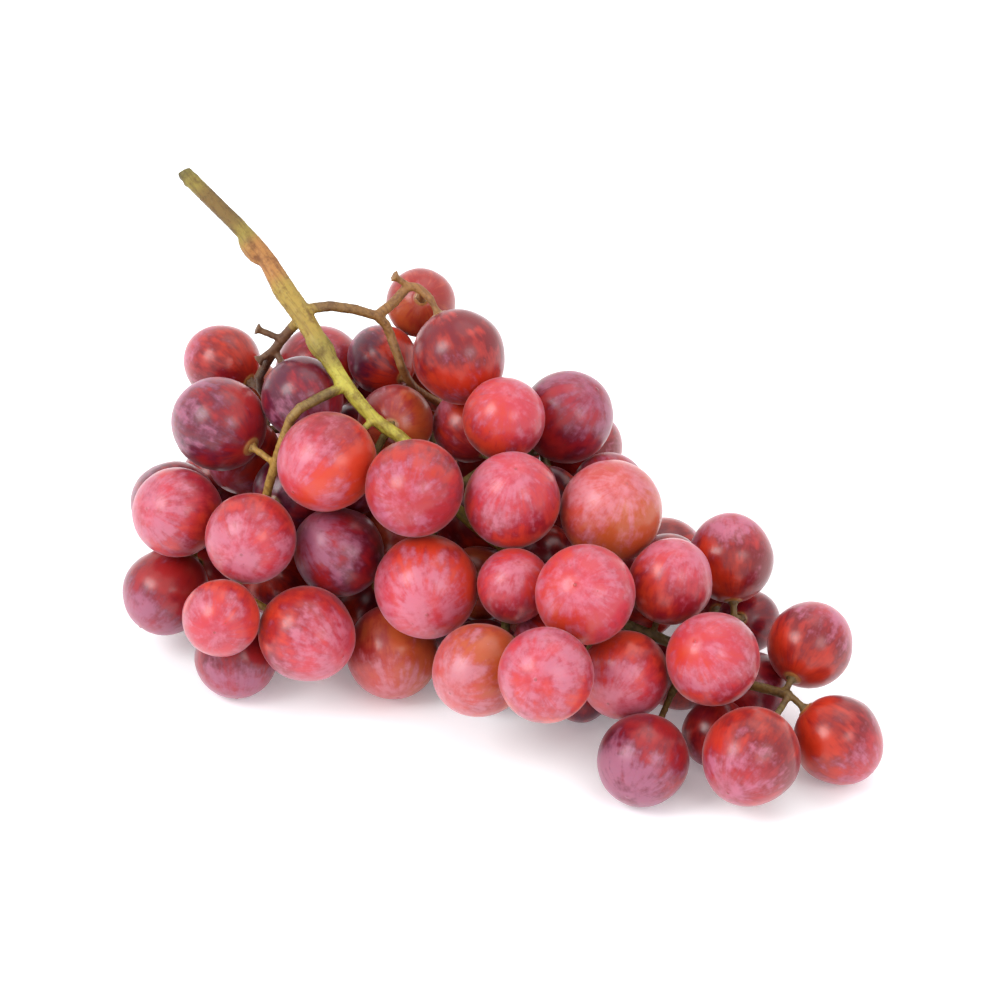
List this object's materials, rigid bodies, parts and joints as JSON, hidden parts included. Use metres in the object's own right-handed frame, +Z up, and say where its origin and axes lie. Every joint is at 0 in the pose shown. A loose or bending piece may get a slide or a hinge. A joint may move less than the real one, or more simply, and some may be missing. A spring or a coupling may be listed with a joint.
{
  "type": "bunch of grapes",
  "caption": "Bunch of ripe red table grapes lying on its side, round berries crowded on a branching woody stem with a long cut stalk.",
  "frame": {"origin": "centre of the bunch's box on its underside, on the surface it lies on", "axes": "+X along the bunch from the cut stalk towards the tip, +Y across the bunch towards its back, +Z up from the surface"},
  "size_m": [0.2282, 0.1332, 0.1211],
  "materials": {
    "berry_red": "deep red translucent skin with a thin waxy bloom",
    "berry_pink": "pink-red translucent skin with a thin waxy bloom",
    "berry_purple": "purple-red skin under a heavier greyish-lilac bloom",
    "berry_amber": "orange-red translucent skin, less ripe, with little bloom",
    "stem": "matte green-brown woody stem"
  },
  "bodies": {
    "root": {"back_shoulder_berry_1": "berry_red", "back_shoulder_berry_2": "berry_amber", "back_shoulder_berry_3": "berry_red", "back_shoulder_berry_4": "berry_purple", "back_shoulder_berry_5": "berry_purple", "back_shoulder_berry_6": "berry_red", "back_shoulder_berry_7": "berry_red", "back_shoulder_berry_8": "berry_red", "belly_berry_1": "berry_purple", "belly_berry_2": "berry_amber", "belly_berry_3": "berry_pink", "belly_berry_4": "berry_red", "belly_berry_5": "berry_amber", "centre_back_berry_1": "berry_pink", "centre_back_berry_2": "berry_pink", "centre_back_berry_3": "berry_purple", "centre_back_berry_4": "berry_red", "centre_back_berry_5": "berry_pink", "core_back_berry_1": "berry_amber", "core_back_berry_2": "berry_amber", "flank_berry_1": "berry_amber", "flank_berry_2": "berry_red", "flank_berry_3": "berry_red", "flank_berry_4": "berry_red", "fore_berry_1": "berry_pink", "fore_berry_2": "berry_purple", "keel_berry_1": "berry_amber", "keel_berry_2": "berry_purple", "keel_berry_3": "berry_pink", "rachis_berry_1": "berry_pink", "rachis_berry_10": "berry_red", "rachis_berry_11": "berry_red", "rachis_berry_12": "berry_red", "rachis_berry_13": "berry_red", "rachis_berry_2": "berry_red", "rachis_berry_3": "berry_amber", "rachis_berry_4": "berry_pink", "rachis_berry_5": "berry_pink", "rachis_berry_6": "berry_pink", "rachis_berry_7": "berry_pink", "rachis_berry_8": "berry_pink", "rachis_berry_9": "berry_red", "shoulder_berry_1": "berry_purple", "shoulder_berry_2": "berry_purple", "shoulder_berry_3": "berry_pink", "shoulder_berry_4": "berry_red", "shoulder_berry_5": "berry_pink", "shoulder_berry_6": "berry_purple", "shoulder_berry_7": "berry_pink", "shoulder_side_berry_1": "berry_pink", "shoulder_side_berry_2": "berry_purple", "shoulder_side_berry_3": "berry_purple", "stem": "stem", "tip_front_berry_1": "berry_purple", "tip_side_berry_1": "berry_red", "tip_side_berry_2": "berry_purple", "top_fork_berry_1": "berry_red", "top_fork_berry_2": "berry_amber", "top_spur_berry_1": "berry_red", "top_spur_berry_2": "berry_amber"}
  },
  "joints": []
}
